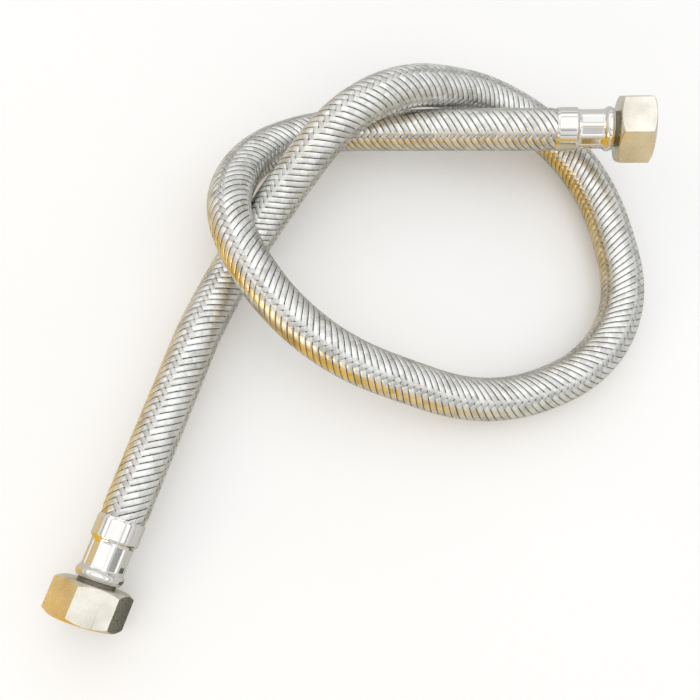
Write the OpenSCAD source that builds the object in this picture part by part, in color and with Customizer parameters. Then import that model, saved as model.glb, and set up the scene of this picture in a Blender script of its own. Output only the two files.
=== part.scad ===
// Braided supply line: a 1/2 inch stainless braided water hose tied in a loose overhand knot, with a
// G1/2 swivel nut at each end. Origin: the start of end A's thread, on its axis. +X runs into the hose,
// +Z is up from the surface that the hose lies on.

/* [Hose] */
// Diameter over the braid
hose_d = 16; // [15.6:0.1:16]
// Diameter of the liner under the braid
liner_d = 15.1; // [14.8:0.1:15.2]
// Bore of the liner
bore_d = 11; // [10.6:0.1:11.2]

/* [Nut] */
// Hexagon size across the flats
nut_af = 23.5; // [23:0.1:26]
// Length of the nut
nut_l = 12.5; // [12:0.5:15]
// Major diameter of the G1/2 thread
thread_d = 20.96; // [20.9:0.01:21]
// How far each nut is turned about its axis, for end A and end B
nut_turn = [20, 55]; // [0:1:59]

/* [Fitting] */
// Diameter of the stem's neck
neck_d = 13; // [12:0.1:13.2]
// Clearance between the neck and the nut, measured on the radius
neck_gap = 0.08; // [0.02:0.01:0.1]
// Free travel of the nut along the neck
nut_travel = 1; // [0.6:0.1:1.4]
// Length of the crimp ferrule
ferrule_l = 21; // [20:0.5:23]
// Diameter of the ferrule's bell and bead
bell_d = 16.4; // [15.8:0.1:17]
// Distance across the crimped flats
crimp_d = 14.4; // [14.2:0.1:14.6]
// Number of crimped flats
crimp_n = 10; // [8:2:12]

/* [Free legs] */
// Hinges that stand for the bending of leg A
leg_a_hinges = 6; // [4:1:8]
// Hinges that stand for the bending of leg B
leg_b_hinges = 4; // [3:1:6]
// Distance along leg A from its mouth to the hinge at the knot
leg_a_l = 96; // [90:1:96]
// Distance along leg B from its mouth to the hinge at the knot
leg_b_l = 67; // [62:1:70]
// Gap between two links of a leg
link_gap = 1.8; // [1.6:0.1:2]

/* [Hidden] */
// Corners of the hose's path with the bend radius at each: x, y, z, radius
route = [
    [0, 0, 0, 0],
    [103.8, 0, 0, 64],
    [141.1, -2, -5.8, 85],
    [208.4, -26.7, 26.7, 53],
    [232.8, -68.3, 4.3, 30],
    [231.8, -117.3, -5.3, 64],
    [155, -158, -1.8, 46],
    [112.4, -110, -4, 64],
    [108, -32, 13.8, 80],
    [145.4, 6.4, 14.4, 30],
    [177.4, 8.5, 0.3, 37],
    [198.7, -14, -4, 32],
    [228, -131.9, 23.5, 0]
];
last = len(route) - 1;
$fn = 64;

// Places along an end fitting, measured inwards from the start of its thread
lead = 0.7;
lip_z = nut_l - lead - 1.7;
flange_l = 1.5;
flange_z = lip_z - flange_l - 0.05;
flange_r = 9.1;
gasket_l = 1.5;
gasket_z = flange_z - nut_travel - 0.05 - gasket_l;
gasket_r = 9.25;
thread_l = gasket_z - 0.1;
relief_r = thread_d / 2 + 0.2;
bead_z = nut_l - lead + nut_travel + 0.1;
bead_l = 4;
mouth_z = bead_z + ferrule_l;
crimp_end = mouth_z - 7.8;
bell_z = mouth_z - 6.4;
wall = 0.55;
stub_z = bead_z + 1.5;
stub_end = mouth_z + 1;
hair = 0.02;
sleeve_l = 0.6;

// How far the ferrule presses the hose in, in its crimp and in its bell
crimp_press = (hose_d - crimp_d) / 2 + wall;
bell_press = (hose_d - bell_d) / 2 + wall;

// The path: corner points, directions between them, and the length each bend cuts off its corner
function at(i) = [route[i].x, route[i].y, route[i].z];
function unit(v) = v / norm(v);
function heading(i) = unit(at(i + 1) - at(i));
function turn(i) = acos(heading(i - 1) * heading(i));
function cut(i) = i == 0 || i == last ? 0 : route[i][3] * tan(turn(i) / 2);

// Where each end sits: mouth point, direction into the hose, and how far its nut is turned
end_point = [at(0), at(last)];
end_axis = [heading(0), -heading(last - 1)];
leg_l = [leg_a_l, leg_b_l];
hinges = [leg_a_hinges, leg_b_hinges];

// Draws its children with local Z along d, local X level and local Y upwards, starting from p
module aim(p, d) {
    x = unit(cross([0, 0, 1], d));
    y = cross(d, x);
    multmatrix([
        [x.x, y.x, d.x, p.x],
        [x.y, y.y, d.y, p.y],
        [x.z, y.z, d.z, p.z],
        [0, 0, 0, 1]
    ])
    children();
}

module in_end(e) {
    aim(end_point[e], end_axis[e]) children();
}

module ring(r_out, r_in) {
    difference() {
        circle(r_out);
        circle(r_in);
    }
}

module pipe(z0, z1, r_out, r_in) {
    translate([0, 0, z0])
    linear_extrude(z1 - z0)
    ring(r_out, r_in);
}

// A straight of the knot, from the end of bend i to the start of bend i + 1, less the leg beyond it
module straight(i, r_out, r_in) {
    from = i == 0 ? leg_a_l + link_gap / 2 : cut(i);
    to = i == last - 1 ? leg_b_l + link_gap / 2 : cut(i + 1);
    aim(at(i), heading(i)) pipe(from, norm(at(i + 1) - at(i)) - to, r_out, r_in);
}

module bend(i, r_out, r_in) {
    r = route[i][3];
    start = at(i) - heading(i - 1) * cut(i);
    side = unit(cross(cross(heading(i - 1), heading(i)), heading(i - 1)));
    x = -side;
    y = heading(i - 1);
    z = cross(x, y);
    c = start + side * r;
    multmatrix([
        [x.x, y.x, z.x, c.x],
        [x.y, y.y, z.y, c.y],
        [x.z, y.z, z.z, c.z],
        [0, 0, 0, 1]
    ])
    rotate_extrude(angle = turn(i))
    translate([r, 0])
    ring(r_out, r_in);
}

// Short sleeve over the plane where a straight meets a bend, a hair thicker so that the two join
module sleeve(p, d, r_out, r_in) {
    aim(p, d) pipe(-sleeve_l / 2, sleeve_l / 2, r_out + hair, r_in - hair);
}

module knot_tube(r_out, r_in) {
    for (i = [0:last - 1]) straight(i, r_out, r_in);
    for (i = [1:last - 1]) {
        bend(i, r_out, r_in);
        sleeve(at(i) - heading(i - 1) * cut(i), heading(i - 1), r_out, r_in);
        sleeve(at(i) + heading(i) * cut(i), heading(i), r_out, r_in);
    }
}

module knot_braid() {
    color("LightSteelBlue") knot_tube(hose_d / 2, liner_d / 2);
}

module knot_liner() {
    color("DimGray") knot_tube(liner_d / 2 - 2.5 * hair, bore_d / 2);
}

// Link i of leg e, counted from the knot
module link(e, i, r_out, r_in) {
    pitch = (leg_l[e] - stub_end - link_gap / 2) / (hinges[e] - 1);
    z1 = leg_l[e] - (i - 1) * pitch - link_gap / 2;
    in_end(e) pipe(z1 - pitch + link_gap, z1, r_out, r_in);
}

module leg_braid(e, i) {
    color("LightSteelBlue") link(e, i, hose_d / 2, liner_d / 2);
}

module leg_liner(e, i) {
    color("DimGray") link(e, i, liner_d / 2, bore_d / 2);
}

// Hexagon with both ends turned down to a cone
module hexagon_blank() {
    face_r = nut_af / 2 - 0.4;
    corner_r = nut_af / sqrt(3) + 0.1;
    bevel = (corner_r - face_r) * tan(30);
    intersection() {
        cylinder(h = nut_l, r = nut_af / sqrt(3), $fn = 6);
        rotate_extrude()
        polygon([
            [0, 0], [face_r, 0], [corner_r, bevel],
            [corner_r, nut_l - bevel], [face_r, nut_l], [0, nut_l]
        ]);
    }
}

module nut(e) {
    color("Silver")
    in_end(e)
    rotate([0, 0, nut_turn[e]])
    difference() {
        translate([0, 0, -lead]) hexagon_blank();
        cylinder(h = thread_l, d = thread_d);
        translate([0, 0, thread_l]) cylinder(h = lip_z - thread_l, r = relief_r);
        translate([0, 0, -2 * lead]) cylinder(h = 2 * lead, r1 = thread_d / 2 + 2 * lead, r2 = thread_d / 2);
        cylinder(h = nut_l + 1, r = neck_d / 2 + neck_gap);
    }
}

module gasket(e) {
    color("Black")
    in_end(e)
    pipe(gasket_z, gasket_z + gasket_l, gasket_r, bore_d / 2);
}

// Turned insert: sealing flange, neck, shoulder under the ferrule's lip, and three barbs in the liner
module stem(e) {
    shank_r = bore_d / 2 - 0.35;
    barb_r = bore_d / 2 - 0.02;
    barb_l = 4;
    color("Peru")
    in_end(e)
    difference() {
        union() {
            translate([0, 0, flange_z]) cylinder(h = flange_l, r = flange_r);
            translate([0, 0, flange_z]) cylinder(h = stub_z - flange_z - 0.1, d = neck_d);
            cylinder(h = crimp_end, r = shank_r);
            for (i = [0:2])
                translate([0, 0, stub_z + i * barb_l])
                cylinder(h = barb_l * 0.75, r1 = barb_r, r2 = shank_r);
        }
        translate([0, 0, -1]) cylinder(h = mouth_z, r = shank_r - 0.9);
        translate([0, 0, -1]) cylinder(h = flange_z + 1, r = flange_r + 1);
    }
}

// Crimp sleeve: a rounded bead that turns in to the neck, the crimped flats, then the bell
module ferrule(e) {
    bell_r = bell_d / 2;
    crimp_r = crimp_d / 2;
    color("Gainsboro")
    in_end(e)
    difference() {
        union() {
            translate([0, 0, bead_z])
            rotate_extrude() {
                square([bell_r - bead_l / 2, bead_l]);
                translate([bell_r - bead_l / 2, bead_l / 2]) circle(bead_l / 2);
            }
            translate([0, 0, bead_z + bead_l / 2])
            cylinder(h = bell_z - bead_z - bead_l / 2, r = crimp_r / cos(180 / crimp_n), $fn = crimp_n);
            translate([0, 0, crimp_end - 0.6])
            cylinder(h = bell_z - crimp_end + 0.6, r1 = crimp_r, r2 = bell_r);
            translate([0, 0, bell_z]) cylinder(h = mouth_z - bell_z, r = bell_r);
        }
        translate([0, 0, bead_z - 1]) cylinder(h = ferrule_l, d = neck_d);
        translate([0, 0, stub_z]) cylinder(h = ferrule_l, r = crimp_r - wall);
        translate([0, 0, crimp_end]) cylinder(h = bell_z - crimp_end, r1 = crimp_r - wall, r2 = bell_r - wall);
        translate([0, 0, bell_z - 0.01]) cylinder(h = ferrule_l, r = bell_r - wall);
    }
}

// The hose's own end under the ferrule, from its pressed part in the crimp to full size outside the
// bell. Its outer face is pressed in by the ferrule, and its inner face by press_in times as much.
module stub(e, r_out, r_in, press_in) {
    in_end(e)
    rotate_extrude()
    polygon([
        [r_out - crimp_press, stub_z], [r_out - crimp_press, crimp_end],
        [r_out - bell_press, bell_z], [r_out - bell_press, mouth_z],
        [r_out, stub_end], [r_in, stub_end],
        [r_in - press_in * bell_press, mouth_z], [r_in - press_in * bell_press, bell_z],
        [r_in - press_in * crimp_press, crimp_end], [r_in - press_in * crimp_press, stub_z]
    ]);
}

module end_braid(e) {
    color("LightSteelBlue") stub(e, hose_d / 2 - hair, liner_d / 2, 1);
}

module end_liner(e) {
    color("DimGray") stub(e, liner_d / 2, bore_d / 2, 0);
}

knot_braid();
knot_liner();
nut(0);  // end_a_nut
gasket(0);  // end_a_gasket
stem(0);  // end_a_stem
ferrule(0);  // end_a_ferrule
end_braid(0);  // end_a_braid
end_liner(0);  // end_a_liner
nut(1);  // end_b_nut
gasket(1);  // end_b_gasket
stem(1);  // end_b_stem
ferrule(1);  // end_b_ferrule
end_braid(1);  // end_b_braid
end_liner(1);  // end_b_liner
for (i = [1:leg_a_hinges - 1]) {
    leg_braid(0, i);
    leg_liner(0, i);
}
for (i = [1:leg_b_hinges - 1]) {
    leg_braid(1, i);
    leg_liner(1, i);
}
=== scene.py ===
import math

import bpy
import numpy as np
from mathutils import Matrix, Vector


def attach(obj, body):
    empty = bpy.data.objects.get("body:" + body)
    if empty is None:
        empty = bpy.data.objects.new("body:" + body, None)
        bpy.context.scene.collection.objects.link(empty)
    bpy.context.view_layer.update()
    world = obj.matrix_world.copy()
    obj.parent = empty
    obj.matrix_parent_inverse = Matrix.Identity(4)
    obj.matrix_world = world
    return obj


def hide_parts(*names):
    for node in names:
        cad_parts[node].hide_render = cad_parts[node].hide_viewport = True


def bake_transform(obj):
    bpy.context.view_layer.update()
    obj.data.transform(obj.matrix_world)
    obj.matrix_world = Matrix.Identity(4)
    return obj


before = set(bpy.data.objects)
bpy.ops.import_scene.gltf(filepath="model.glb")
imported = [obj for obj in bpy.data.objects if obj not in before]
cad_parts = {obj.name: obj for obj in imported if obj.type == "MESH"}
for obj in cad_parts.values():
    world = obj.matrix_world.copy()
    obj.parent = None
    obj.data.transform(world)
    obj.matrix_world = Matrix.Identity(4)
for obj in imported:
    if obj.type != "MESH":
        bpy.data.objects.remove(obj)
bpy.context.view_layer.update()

MM = 0.001
RNG = np.random.default_rng(7)

# The hose's path, in millimetres: its corners and the bend radius at each, as in the CAD.
CORNERS = np.array([
    [0, 0, 0, 0], [103.8, 0, 0, 64], [141.1, -2, -5.8, 85], [208.4, -26.7, 26.7, 53],
    [232.8, -68.3, 4.3, 30], [231.8, -117.3, -5.3, 64], [155, -158, -1.8, 46],
    [112.4, -110, -4, 64], [108, -32, 13.8, 80], [145.4, 6.4, 14.4, 30],
    [177.4, 8.5, 0.3, 37], [198.7, -14, -4, 32], [228, -131.9, 23.5, 0],
])
ROW = 0.5  # distance between two rows of the braid's mesh along the path
SMOOTH = 5  # how far the knot's bends are eased into each other
STRAIGHT = {"a": 105, "b": 90}  # length at each end that isn't eased
FADE = 15  # distance over which the easing fades in and out
ARC_STEPS = 60

# The legs: each one's length from its mouth to the hinge at the knot, its hinges, and the gap at a hinge.
LEG_L = {"a": 96, "b": 67}
HINGES = {"a": 6, "b": 4}
LINK_GAP = 1.8

# Places along an end fitting, measured inwards from the start of its thread, and its radii.
BEAD = 12.9
STUB = 14.4  # where the hose starts, inside the ferrule
CRIMP_END = 26.1
BELL = 27.5
MOUTH = 33.9
STUB_END = 34.9  # where the hose that is fixed to the fitting ends
BELL_R = 8.1
BEAD_R = 8.2
BEAD_HALF = 2.0  # half the bead's length
FLATS = 10
FLAT_R = 6.85
RIDGE_R = 7.27  # between two flats
SKIN = 0.5  # thickness of the ferrule
BELL_PRESS = 0.4  # how far the bell presses the hose in
CRIMP_PRESS = 1.25  # how much further the crimped flats do

# The braid: flat bands of wires, half of them wound each way.
BANDS = 12
PITCH = 2.56  # distance along the hose from a band to the next of its family
BAND_W = 2.02
BAND_T = 0.21
BRAID_R = 7.75  # halfway between the bands that lie over and those that lie under
WEAVE = 0.14  # how far a band rises and falls from there
DRIFT_SIZE = 0.05  # how far a band wanders sideways
DRIFT_LENGTH = 23
TUCK = 0.006  # how far a span's end row lies under the next span
OVER, REPEAT = 5, 6  # one family passes over OVER crossings out of every REPEAT
TWIST = 2 * math.pi / BANDS / PITCH
BLOCKS = 700  # more than the crossings along one band
SLANT = math.atan(TWIST * BRAID_R)
LINER_R = 7.46
BORE_R = 5.5


# ---------------------------------------------------------------- small helpers

def unit(v):
    return v / np.linalg.norm(v)


def smoothstep(x):
    x = np.clip(x, 0, 1)
    return x * x * (3 - 2 * x)


def make_mesh(name, verts, quads, material, uv=None, smooth=True, flat=()):
    """A mesh object from arrays of vertices (metres), quads and a UV for each vertex.

    flat lists the quads that stay flat, such as end caps, on a mesh that is smooth elsewhere.
    """
    mesh = bpy.data.meshes.new(name)
    mesh.vertices.add(len(verts))
    mesh.vertices.foreach_set("co", np.asarray(verts, np.float32).ravel())
    mesh.loops.add(quads.size)
    mesh.loops.foreach_set("vertex_index", quads.astype(np.int32).ravel())
    mesh.polygons.add(len(quads))
    mesh.polygons.foreach_set("loop_start", np.arange(0, quads.size, 4, dtype=np.int32))
    shading = np.full(len(quads), smooth)
    shading[list(flat)] = False
    mesh.polygons.foreach_set("use_smooth", shading)
    if uv is not None:
        layer = mesh.uv_layers.new(name="UVMap")
        layer.data.foreach_set("uv", np.asarray(uv, np.float32)[quads.ravel()].ravel())
    mesh.update(calc_edges=True)
    mesh.materials.append(material)
    obj = bpy.data.objects.new(name, mesh)
    bpy.context.scene.collection.objects.link(obj)
    return obj


def grid_quads(rows, cols, closed_rows=False, first=0):
    """Quads of a grid whose columns run round a closed loop."""
    i = np.arange(rows if closed_rows else rows - 1)
    j = np.arange(cols)
    a, b = np.meshgrid(i, j, indexing="ij")
    a2, b2 = (a + 1) % rows, (b + 1) % cols
    quads = np.stack([a * cols + b, a * cols + b2, a2 * cols + b2, a2 * cols + b], axis=-1)
    return quads.reshape(-1, 4) + first


# ---------------------------------------------------------------- the path

def bent_path():
    """Points along the corners with each corner rounded to its radius."""
    points = [CORNERS[0, :3]]
    for before, corner, after in zip(CORNERS[:-2], CORNERS[1:-1], CORNERS[2:]):
        u, v = unit(before[:3] - corner[:3]), unit(after[:3] - corner[:3])
        turn = math.pi - math.acos(u @ v)
        radius = corner[3]
        centre = corner[:3] + unit(u + v) * radius / math.cos(turn / 2)
        start = unit(corner[:3] + u * radius * math.tan(turn / 2) - centre)
        end = unit(corner[:3] + v * radius * math.tan(turn / 2) - centre)
        for k in np.linspace(0, 1, ARC_STEPS):
            spoke = math.sin((1 - k) * turn) * start + math.sin(k * turn) * end
            points.append(centre + radius * spoke / math.sin(turn))
    points.append(CORNERS[-1, :3])
    return np.array(points)


def evenly(points):
    """The same line with a point every ROW, and the length of it."""
    along = np.r_[0, np.cumsum(np.linalg.norm(np.diff(points, axis=0), axis=1))]
    s = np.arange(0, along[-1], ROW)
    return np.stack([np.interp(s, along, points[:, k]) for k in range(3)], axis=1), along[-1]


def eased(points, length):
    """The path with the knot's bends eased, and the straight legs as they are."""
    s = np.arange(len(points)) * ROW
    reach = int(3 * SMOOTH / ROW)
    kernel = np.exp(-0.5 * (np.arange(-reach, reach + 1) * ROW / SMOOTH) ** 2)
    kernel /= kernel.sum()
    padded = np.pad(points, ((reach, reach), (0, 0)), mode="edge")
    soft = np.stack([np.convolve(padded[:, k], kernel, mode="valid") for k in range(3)], axis=1)
    share = smoothstep((s - STRAIGHT["a"]) / FADE) * smoothstep((length - STRAIGHT["b"] - s) / FADE)
    return points + (soft - points) * share[:, None]


def carried_frames(points):
    """Tangent, normal and binormal at each point, with no twist from one to the next."""
    tangent = np.gradient(points, axis=0)
    tangent /= np.linalg.norm(tangent, axis=1)[:, None]
    normal = np.empty_like(tangent)
    normal[0] = [0, 0, 1]
    for i in range(1, len(points)):
        normal[i] = unit(normal[i - 1] - tangent[i] * (normal[i - 1] @ tangent[i]))
    return tangent, normal, np.cross(tangent, normal)


RAW, LENGTH = evenly(bent_path())
PATH = eased(RAW, LENGTH)
TANGENT, NORMAL, BINORMAL = carried_frames(PATH)
AXIS = {"a": (PATH[0], TANGENT[0]), "b": (CORNERS[-1, :3], -TANGENT[-1])}


def row_of(s):
    return int(round(s / ROW))


def from_end(end, z):
    """Distance along the path of a place z in from an end's mouth."""
    return z if end == "a" else LENGTH - z


def on_hose(rows, radius, angle):
    """Points round the hose, in metres, at these rows, radii and angles."""
    out = NORMAL[rows] * np.cos(angle)[..., None] + BINORMAL[rows] * np.sin(angle)[..., None]
    return (PATH[rows] + out * radius[..., None]) * MM


def squeeze(s):
    """What a ferrule takes off the hose's radius, below zero: some in the bell, more in the crimp."""
    z = np.minimum(s, LENGTH - s)
    taper = 4
    in_bell = BELL_PRESS * smoothstep((MOUTH + taper - z) / taper)
    return -in_bell - CRIMP_PRESS * smoothstep((BELL - z) / (BELL - CRIMP_END))


# ---------------------------------------------------------------- materials

def node_material(name):
    material = bpy.data.materials.new(name)
    material.use_nodes = True
    tree = material.node_tree
    return material, tree, tree.nodes["Principled BSDF"]


def link(tree, a, b):
    tree.links.new(a, b)


def noise(tree, scale, detail=4.0):
    """A noise texture over the object's own coordinates, in metres."""
    coordinates = tree.nodes.new("ShaderNodeTexCoord")
    texture = tree.nodes.new("ShaderNodeTexNoise")
    texture.inputs["Scale"].default_value = scale
    texture.inputs["Detail"].default_value = detail
    link(tree, coordinates.outputs["Object"], texture.inputs["Vector"])
    return texture.outputs["Fac"]


def ramp(tree, value, stops):
    """A colour ramp with these (position, colour) stops."""
    node = tree.nodes.new("ShaderNodeValToRGB")
    elements = node.color_ramp.elements
    while len(elements) < len(stops):
        elements.new(0.5)
    for element, (position, colour) in zip(elements, stops):
        element.position = position
        element.color = (*colour, 1)
    link(tree, value, node.inputs["Fac"])
    return node.outputs["Color"]


def spread(tree, value, low, high):
    """value, which runs about 0.3 to 0.7, mapped on to low to high."""
    node = tree.nodes.new("ShaderNodeMapRange")
    node.inputs["From Min"].default_value = 0.3
    node.inputs["From Max"].default_value = 0.7
    node.inputs["To Min"].default_value = low
    node.inputs["To Max"].default_value = high
    link(tree, value, node.inputs["Value"])
    return node.outputs["Result"]


def bump(tree, height, strength, distance):
    node = tree.nodes.new("ShaderNodeBump")
    node.inputs["Strength"].default_value = strength
    node.inputs["Distance"].default_value = distance
    link(tree, height, node.inputs["Height"])
    return node.outputs["Normal"]


def mixed(tree, factor, first, second):
    """A colour that goes from first to second with factor; either may be a socket or a plain colour."""
    node = tree.nodes.new("ShaderNodeMix")
    node.data_type = "RGBA"
    link(tree, factor, node.inputs["Factor"])
    for value, socket in ((first, node.inputs[6]), (second, node.inputs[7])):
        if isinstance(value, tuple):
            socket.default_value = (*value, 1)
        else:
            link(tree, value, socket)
    return node.outputs[2]


def solid_material(name, dark, light, roughness, metallic, grain, depth):
    """A surface whose colour and roughness wander between two values, with a fine grain."""
    material, tree, shader = node_material(name)
    patches = noise(tree, 90, 5)
    fine = noise(tree, grain, 3)
    link(tree, ramp(tree, patches, [(0.3, dark), (0.7, light)]), shader.inputs["Base Color"])
    link(tree, spread(tree, fine, *roughness), shader.inputs["Roughness"])
    link(tree, bump(tree, fine, 0.35, depth), shader.inputs["Normal"])
    shader.inputs["Metallic"].default_value = metallic
    return material


def calculated(tree, operation, first, second):
    """A math node's result; each of its two inputs may be a socket or a number."""
    node = tree.nodes.new("ShaderNodeMath")
    node.operation = operation
    for value, socket in ((first, node.inputs[0]), (second, node.inputs[1])):
        if isinstance(value, (int, float)):
            socket.default_value = value
        else:
            link(tree, value, socket)
    return node.outputs["Value"]


def random_for(tree, first, second):
    """A random value from 0 to 1, the same wherever the whole parts of both values are the same."""
    pair = tree.nodes.new("ShaderNodeCombineXYZ")
    link(tree, calculated(tree, "FLOOR", first, 0), pair.inputs["X"])
    link(tree, calculated(tree, "FLOOR", second, 0), pair.inputs["Y"])
    value = tree.nodes.new("ShaderNodeTexWhiteNoise")
    link(tree, pair.outputs["Vector"], value.inputs["Vector"])
    return value.outputs["Value"]


def braid_material():
    """Bright stainless wires lying side by side in each band, with painted shade where a band lies under the
    other family and over the whole of the second family.

    The UV's first value runs across a band, 0 to 1 in one family and 1 to 2 in the other; its second
    runs along it, one for each crossing. The lift attribute is how high the band rides.
    """
    wires = 8
    material, tree, shader = node_material("braid_wire")
    uv = tree.nodes.new("ShaderNodeUVMap")
    uv.uv_map = "UVMap"
    split = tree.nodes.new("ShaderNodeSeparateXYZ")
    link(tree, uv.outputs["UV"], split.inputs["Vector"])
    across, along = split.outputs["X"], split.outputs["Y"]
    wire = calculated(tree, "MULTIPLY", across, wires)
    crown = calculated(tree, "PINGPONG", wire, 0.5)
    patches = noise(tree, 160, 3)
    band = calculated(tree, "DIVIDE", along, BLOCKS)
    each_wire = calculated(tree, "MULTIPLY", random_for(tree, wire, band), 0.22)
    each_block = calculated(tree, "MULTIPLY", random_for(tree, across, along), 0.45)
    shade = calculated(tree, "ADD", calculated(tree, "ADD", each_wire, each_block), patches)
    bright = ramp(tree, shade, [(0.35, (0.58, 0.58, 0.55)), (1.1, (0.95, 0.95, 0.93))])
    # Painted shade: the second family's colour is drawn towards dark grey, so it reads as the shaded one of
    # the two.
    painted_shade_family = calculated(tree, "GREATER_THAN", across, 1.0)
    bright = mixed(tree, calculated(tree, "MULTIPLY", painted_shade_family, 0.35), bright, (0.30, 0.30, 0.28))
    # Painted shade: where a band lies under the other family its colour goes nearly black, which darkens the
    # gaps between bands and each band's ends.
    lift = tree.nodes.new("ShaderNodeAttribute")
    lift.attribute_name = "lift"
    depth = calculated(tree, "ADD", lift.outputs["Fac"], 1.0)
    painted_gap_shade = ramp(tree, depth, [(0.1, (1, 1, 1)), (0.75, (0, 0, 0))])
    link(tree, mixed(tree, painted_gap_shade, bright, (0.10, 0.10, 0.09)), shader.inputs["Base Color"])
    link(tree, spread(tree, patches, 0.22, 0.34), shader.inputs["Roughness"])
    link(tree, bump(tree, crown, 0.5, 0.00008), shader.inputs["Normal"])
    tangent = tree.nodes.new("ShaderNodeTangent")
    tangent.direction_type = "UV_MAP"
    tangent.uv_map = "UVMap"
    link(tree, tangent.outputs["Tangent"], shader.inputs["Tangent"])
    shader.inputs["Metallic"].default_value = 1
    shader.inputs["Anisotropic"].default_value = 0.35
    return material


BRAID = braid_material()
LINER = solid_material(
    "liner_rubber", (0.012, 0.012, 0.013), (0.03, 0.03, 0.03),
    roughness=(0.55, 0.75), metallic=0, grain=2500, depth=0.00003,
)
NICKEL = solid_material(
    "nut_nickel", (0.70, 0.67, 0.57), (0.97, 0.94, 0.85),
    roughness=(0.20, 0.42), metallic=1, grain=1900, depth=0.00008,
)
POLISHED = solid_material(
    "ferrule_steel", (0.80, 0.79, 0.76), (0.90, 0.89, 0.87),
    roughness=(0.05, 0.13), metallic=1, grain=1800, depth=0.000005,
)
# The whole stem is painted nearly black: painted shade, since it shows in the shaded neck between the bead
# and the nut.
SHADED_STEM = solid_material(
    "stem_nickel_painted_shade", (0.12, 0.11, 0.09), (0.26, 0.24, 0.19),
    roughness=(0.30, 0.45), metallic=1, grain=2200, depth=0.00001,
)
GASKET = solid_material(
    "gasket_rubber", (0.015, 0.015, 0.016), (0.04, 0.04, 0.04),
    roughness=(0.5, 0.7), metallic=0, grain=3000, depth=0.00003,
)


# ---------------------------------------------------------------- the braided hose

def weave_height(family, band, s):
    """1 where the band lies over the other family, -1 where it lies under it.

    Between two crossings on the same side the band dips a little towards the middle.
    """
    crossing = s / (PITCH / 2)
    first = np.floor(crossing)

    def side(m):
        over = np.mod(2 * band + family * m, REPEAT) < OVER
        return np.where(over, family, -family)

    before, after = side(first), side(first + 1)
    step = smoothstep((crossing - first - 0.2) / 0.6)
    dip = np.where(before == after, 0.3 * before * np.sin(math.pi * (crossing - first)) ** 2, 0)
    return before + (after - before) * step - dip


# A band's cross-section: place across it from -1 to 1, and height above its middle surface.
BAND_ACROSS = np.array([-1.0, -0.86, -0.38, 0.38, 0.86, 1.0])
BAND_HEIGHT = np.array([-0.5, 0.28, 0.5, 0.5, 0.28, -0.5]) * BAND_T
BAND_CAPS = np.array([[0, 1, 4, 5], [1, 2, 3, 4]])
DRIFT = RNG.uniform(0, 2 * math.pi, (2, BANDS))


def braid_span(name, s0, s1):
    """Every band of both families between two distances along the path, as one mesh.

    Each end runs one row on, a hair lower, under the next span, so that the shading carries across.
    """
    rows = np.arange(max(row_of(s0) - 1, 0), min(row_of(s1) + 1, len(PATH) - 1) + 1)
    s = rows[:, None] * ROW
    tuck = np.zeros_like(s)
    tuck[[0, -1]] = TUCK
    cols = len(BAND_ACROSS)
    across = BAND_ACROSS[None, :]
    verts, quads, uvs, lifts, caps = [], [], [], [], []
    for family in (1, -1):
        for band in range(BANDS):
            drift = DRIFT_SIZE * np.sin(s / DRIFT_LENGTH + DRIFT[(family + 1) // 2, band])
            centre = family * TWIST * s + 2 * math.pi * band / BANDS + drift / BRAID_R
            angle = centre + across * BAND_W / 2 / math.cos(SLANT) / BRAID_R
            height = weave_height(family, band, s + family * across * BAND_W / 2 * math.sin(SLANT))
            radius = BRAID_R + WEAVE * height + BAND_HEIGHT[None, :] + squeeze(s) - tuck
            first = len(verts) * len(rows) * cols
            verts.append(on_hose(rows[:, None], radius, angle).reshape(-1, 3))
            last = first + (len(rows) - 1) * cols
            sides = grid_quads(len(rows), cols, first=first)
            quads += [sides, BAND_CAPS[:, ::-1] + first, BAND_CAPS + last]
            caps += [len(lifts) * (len(sides) + 4) + len(sides) + k for k in range(4)]
            lifts.append(height.ravel())
            u = (across + 1) / 2 + (family < 0)
            v = s / (PITCH / 2) + 0.5 + family * across * BAND_W / 2 * math.sin(SLANT) / (PITCH / 2)
            uvs.append(np.stack([np.broadcast_to(u, v.shape), v + BLOCKS * band], axis=-1).reshape(-1, 2))
    verts, quads, uvs = (np.concatenate(pieces) for pieces in (verts, quads, uvs))
    piece = make_mesh(name, verts, quads, BRAID, uvs, flat=caps)
    lift = piece.data.attributes.new("lift", "FLOAT", "POINT")
    lift.data.foreach_set("value", np.concatenate(lifts).astype(np.float32))
    return piece


def liner_span(name, s0, s1):
    """The rubber tube under the braid, between two distances along the path."""
    sides, step = 40, 4
    rows = np.unique(np.r_[np.arange(row_of(s0), row_of(s1), step), min(row_of(s1), len(PATH) - 1)])
    angle = np.linspace(0, 2 * math.pi, sides, endpoint=False)[None, :]
    outer = np.broadcast_to(LINER_R + squeeze(rows[:, None] * ROW), (len(rows), sides))
    inner = np.full((len(rows), sides), BORE_R)
    skin = [on_hose(rows[:, None], r, np.broadcast_to(angle, r.shape)) for r in (outer, inner)]
    loop = np.concatenate([skin[0], skin[1][::-1]])
    quads = grid_quads(len(loop), sides, closed_rows=True)
    return make_mesh(name, loop.reshape(-1, 3), quads[:, ::-1], LINER)


def hose_spans():
    """The hose in spans that meet in the middle of each rigid link, each across one hinge."""
    for end in ("a", "b"):
        pitch = (LEG_L[end] - STUB_END - LINK_GAP / 2) / (HINGES[end] - 1)
        bodies = ["knot"] + [f"leg_{end}_link_{i}" for i in range(1, HINGES[end])] + [f"end_{end}"]
        hinges = [LEG_L[end] - i * pitch for i in range(HINGES[end])]
        for i, hinge in enumerate(hinges):
            far = STUB + 0.2 if i == len(hinges) - 1 else hinge - pitch / 2
            yield end, i + 1, bodies[i], bodies[i + 1], hinge + pitch / 2, far, pitch


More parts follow.
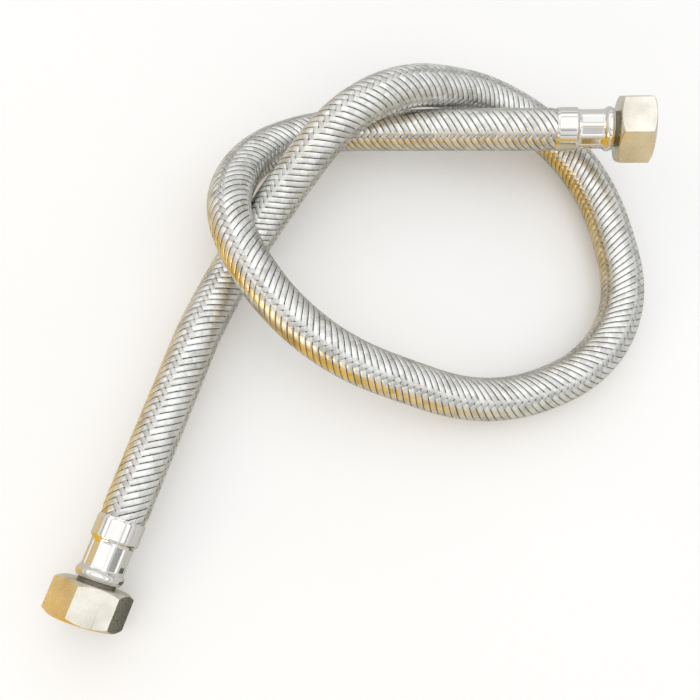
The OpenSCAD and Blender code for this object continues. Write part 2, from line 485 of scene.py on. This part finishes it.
def build_hose():
    """Spans along the legs, each across one hinge, and spans that ride with the knot."""
    ends = []
    for end, number, body, next_body, near, far, pitch in hose_spans():
        s0, s1 = sorted((from_end(end, near), from_end(end, far)))
        for kind, build in (("braid", braid_span), ("liner", liner_span)):
            piece = build(f"hose_{end}_{kind}_{number}", s0, s1)
            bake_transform(piece)
            moved = f"leg_{end}_{kind}_{number}" if number < HINGES[end] else f"end_{end}_{kind}"
            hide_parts(moved)
        if number == 1:
            ends.append(from_end(end, near))
    knot_spans = 4
    cuts = np.linspace(ends[0], ends[1], knot_spans + 1)
    for i in range(knot_spans):
        for kind, build in (("braid", braid_span), ("liner", liner_span)):
            piece = build(f"hose_knot_{kind}_{i + 1}", cuts[i], cuts[i + 1])
            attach(piece, "knot")
            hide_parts(f"knot_{kind}")


# ---------------------------------------------------------------- the end fittings

def end_matrix(end):
    """Local Z into the hose, local X level, local Y upwards, as the CAD places its ends."""
    p, z = AXIS[end]
    x = unit(np.cross([0, 0, 1], z))
    return np.stack([x, np.cross(z, x), z], axis=1), p


def turned(end, z, radius):
    """Points at these heights, radii and evenly spread angles round an end's axis, in metres."""
    turn, p = end_matrix(end)
    angle = np.linspace(0, 2 * math.pi, radius.shape[1], endpoint=False)[None, :]
    z = np.broadcast_to(z, radius.shape)
    local = np.stack([radius * np.cos(angle), radius * np.sin(angle), z], axis=-1)
    return (local @ turn.T + p) * MM


def soft_max(a, b, k):
    h = np.clip(0.5 + 0.5 * (a - b) / k, 0, 1)
    return b + (a - b) * h + k * h * (1 - h)


def ferrule_radius(z, angle):
    """The crimp sleeve's outside: a rolled bead, pressed flats with pockets that fade out, and the bell."""
    bead = BEAD_R - BEAD_HALF + np.sqrt(np.maximum(BEAD_HALF ** 2 - (z - BEAD - BEAD_HALF) ** 2, 0))
    under = 6.0  # lower than the ridges, so that it doesn't show
    bell = under + (BELL_R - under) * smoothstep((z - CRIMP_END + 1.4) / 2.2)
    ridge = np.full_like(z, RIDGE_R)
    round_r = soft_max(bead, soft_max(bell, ridge, 0.3), 0.5)
    sector = 2 * math.pi / FLATS
    from_flat = np.mod(angle, sector) - sector / 2
    flat_r = FLAT_R / np.cos(from_flat)
    pressed = smoothstep((z - BEAD - 3.7) / 1.0) * smoothstep((CRIMP_END - 0.3 - z) / 1.0)
    pocket_half = 0.31 - 0.12 * (1 - pressed)  # as a share of the sector
    on_ridge = smoothstep((np.abs(from_flat) / sector - pocket_half) / 0.08)
    faceted = flat_r + (RIDGE_R - flat_r) * on_ridge
    rolled_in = 0.25 * smoothstep((z - MOUTH + 1.2) / 1.2)
    return round_r + (faceted - round_r) * np.sqrt(pressed) - rolled_in


def ferrule(end):
    """The crimp sleeve, a thin shell that is open at both ends."""
    sides = 240
    angle = np.linspace(0, 2 * math.pi, sides, endpoint=False)[None, :]
    lip = BEAD + BEAD_HALF - math.sqrt(BEAD_HALF ** 2 - 0.9 ** 2)
    outer_z = np.linspace(lip, MOUTH, 120)[:, None]
    inner_z = np.linspace(MOUTH, lip, 40)[:, None]
    into_bell = smoothstep((inner_z - CRIMP_END) / (BELL - CRIMP_END))
    inner = FLAT_R - SKIN + CRIMP_PRESS * into_bell + 0 * angle
    outer = ferrule_radius(outer_z, angle)
    points = np.concatenate([turned(end, outer_z, outer), turned(end, inner_z, inner)])
    quads = grid_quads(len(points), sides, closed_rows=True)
    piece = make_mesh(f"ferrule_{end}", points.reshape(-1, 3), quads, POLISHED)
    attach(piece, f"end_{end}")
    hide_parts(f"end_{end}_ferrule")


def thread(end):
    """The internal thread's ridge, which the CAD leaves out of the nut's plain bore."""
    pitch, major, minor = 1.814, 10.5, 9.32
    sunk = major + 0.05  # the ridge's foot, just inside the nut's wall
    profile = np.array([[-0.78, -0.15, 0.15, 0.78]])  # its foot and crest, along the axis
    first, last = 0.8, 5.1  # where it starts and stops along the nut's threaded length
    steps = int((last - first) / pitch * 96)
    t = np.linspace(0, 1, steps)[:, None]
    fade = smoothstep(t / 0.05) * smoothstep((1 - t) / 0.05)
    crest = major + (minor - major) * fade
    radius = np.concatenate([sunk + 0 * t, crest, crest, sunk + 0 * t], axis=1)
    along = t * (last - first)
    angle = along / pitch * 2 * math.pi
    z = first + along + profile
    turn, p = end_matrix(end)
    local = np.stack([radius * np.cos(angle), radius * np.sin(angle), z], axis=-1)
    points = ((local @ turn.T + p) * MM).reshape(-1, 3)
    end_row = (steps - 1) * 4 + np.arange(4)
    quads = np.concatenate([grid_quads(steps, 4), [[3, 2, 1, 0]], [end_row]])
    piece = make_mesh(f"thread_{end}", points, quads, NICKEL, smooth=False)
    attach(piece, f"nut_{end}")


def dress_cad(node, material, edge):
    """A CAD node that stays: its material, and its edges broken by a fine bevel."""
    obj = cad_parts[node]
    obj.data.materials.clear()
    obj.data.materials.append(material)
    weld = obj.modifiers.new("weld", "WELD")
    weld.merge_threshold = 1e-6
    bevel = obj.modifiers.new("bevel", "BEVEL")
    bevel.width = edge * MM
    bevel.segments = 2
    bevel.limit_method = "ANGLE"
    bevel.angle_limit = math.radians(28)
    bevel.use_clamp_overlap = True


build_hose()
for end in ("a", "b"):
    ferrule(end)
    thread(end)
    dress_cad(f"end_{end}_nut", NICKEL, 0.22)
    dress_cad(f"end_{end}_stem", SHADED_STEM, 0.08)
    dress_cad(f"end_{end}_gasket", GASKET, 0.15)


# ---------------------------------------------------------------- floor, light and camera

MIDDLE = (0.13, -0.07)
FLOOR_Z = -0.0138  # just under the circle of the nuts' corners, so that they can turn


def stage_plane(name, size, place, material):
    half = size / 2
    verts = [(-half, -half, 0), (half, -half, 0), (half, half, 0), (-half, half, 0)]
    obj = make_mesh(name, verts, np.array([[0, 1, 2, 3]]), material, smooth=False)
    obj.location = place
    return obj


def facing(tree, direction, toward):
    """0 to 1 as a shader's direction turns from straight away from toward to straight at it."""
    product = tree.nodes.new("ShaderNodeVectorMath")
    product.operation = "DOT_PRODUCT"
    product.inputs[1].default_value = toward
    link(tree, direction, product.inputs[0])
    node = tree.nodes.new("ShaderNodeMapRange")
    node.inputs["From Min"].default_value = -1
    link(tree, product.outputs["Value"], node.inputs["Value"])
    return node.outputs["Result"]


def build_floor():
    """Pale to the eye; in the metal's reflections it is warm on one side and grey on the other."""
    material, tree, shader = node_material("floor")
    pale = ramp(tree, noise(tree, 3), [(0.3, (0.95, 0.95, 0.95)), (0.7, (0.98, 0.98, 0.98))])
    geometry = tree.nodes.new("ShaderNodeNewGeometry")
    side = facing(tree, geometry.outputs["Incoming"], tuple(-v for v in WARM_SIDE))
    reflected = ramp(tree, side, REFLECTED_SIDES)
    path = tree.nodes.new("ShaderNodeLightPath")
    colour = mixed(tree, path.outputs["Is Glossy Ray"], pale, reflected)
    link(tree, colour, shader.inputs["Base Color"])
    link(tree, colour, shader.inputs["Emission Color"])
    shader.inputs["Roughness"].default_value = 0.8
    shader.inputs["Specular IOR Level"].default_value = 0
    shader.inputs["Emission Strength"].default_value = 0.1
    stage_plane("floor", 6, (*MIDDLE, FLOOR_Z), material)


def build_shade_card():
    """A small dark card on the floor by end A's nut, which only the metal's reflections see: painted shade,
    standing for the shaded floor beside the nut.
    """
    material, tree, shader = node_material("shade_card")
    shader.inputs["Base Color"].default_value = (0.10, 0.10, 0.085, 1)
    shade_card = stage_plane("shade_card", 0.024, (0.006, -0.026, FLOOR_Z + 0.0002), material)
    shade_card.visible_camera = shade_card.visible_shadow = shade_card.visible_diffuse = False


def card(name, size, place, colour, strength):
    """A soft area light aimed at the middle of the knot."""
    data = bpy.data.lights.new(name, "AREA")
    data.shape, data.size = "DISK", size
    data.energy, data.color = strength, colour
    obj = bpy.data.objects.new(name, data)
    obj.location = place
    aim = Vector((*MIDDLE, 0)) - Vector(place)
    obj.rotation_euler = aim.to_track_quat("-Z", "Y").to_euler()
    bpy.context.scene.collection.objects.link(obj)


# Colours of the surroundings: round the horizon from the grey side to WARM_SIDE, and greys from the
# horizon to straight up, where two narrow dark rings give the polished metal its streaks.
WARM_SIDE = (-0.83, 0.55, 0.0)
REFLECTED_SIDES = [
    (0.0, (0.62, 0.62, 0.60)),
    (0.5, (0.60, 0.59, 0.54)),
    (0.76, (0.68, 0.60, 0.42)),
    (0.82, (0.80, 0.47, 0.05)),
]
SKY = [
    (0.5, 0.84), (0.70, 0.86), (0.73, 0.15), (0.76, 0.86),
    (0.87, 0.90), (0.90, 0.30), (0.93, 0.88), (1.0, 0.84),
]


def build_light():
    """A bright sky, with a low horizon that is warm on one side and grey on the other."""
    world = bpy.data.worlds.new("studio")
    world.use_nodes = True
    tree = world.node_tree
    coordinates = tree.nodes.new("ShaderNodeTexCoord")
    direction = coordinates.outputs["Generated"]
    horizon = ramp(tree, facing(tree, direction, WARM_SIDE), REFLECTED_SIDES)
    up = facing(tree, direction, (0, 0, 1))
    height = ramp(tree, up, [(0.53, (0, 0, 0)), (0.66, (1, 1, 1))])
    overhead = ramp(tree, up, [(place, (grey, grey, grey)) for place, grey in SKY])
    path = tree.nodes.new("ShaderNodeLightPath")
    sky = mixed(tree, path.outputs["Is Camera Ray"], mixed(tree, height, horizon, overhead), (0.9, 0.9, 0.89))
    link(tree, sky, tree.nodes["Background"].inputs["Color"])
    tree.nodes["Background"].inputs["Strength"].default_value = 0.95
    bpy.context.scene.world = world
    card("key", 1.3, (0.30, 0.20, 0.70), (1.0, 0.99, 0.97), 1.5)
    card("fill", 0.7, (0.06, -0.40, 0.60), (0.97, 0.98, 1.0), 0.4)
    card("warm", 0.25, (-0.45, 0.25, 0.16), (1.0, 0.74, 0.36), 0.5)


def build_camera():
    """The photograph's view: nearly straight down, tilted towards end A, and rolled."""
    data = bpy.data.cameras.new("camera")
    data.sensor_width = 36
    data.lens = data.sensor_width * 8 / 7
    obj = bpy.data.objects.new("camera", data)
    right = Vector((0.3159, -0.9451, 0.0830)).normalized()
    up = Vector((0.9079, 0.3265, 0.2628))
    back = right.cross(up).normalized()
    up = back.cross(right)
    place = Vector((0.0356, -0.0556, 0.2794))
    obj.matrix_world = Matrix((right, up, back)).transposed().to_4x4()
    obj.matrix_world.translation = place
    data.clip_start = 0.01
    bpy.context.scene.collection.objects.link(obj)
    bpy.context.scene.camera = obj


build_floor()
build_shade_card()
build_light()
build_camera()
bpy.context.scene.view_settings.view_transform = "Standard"
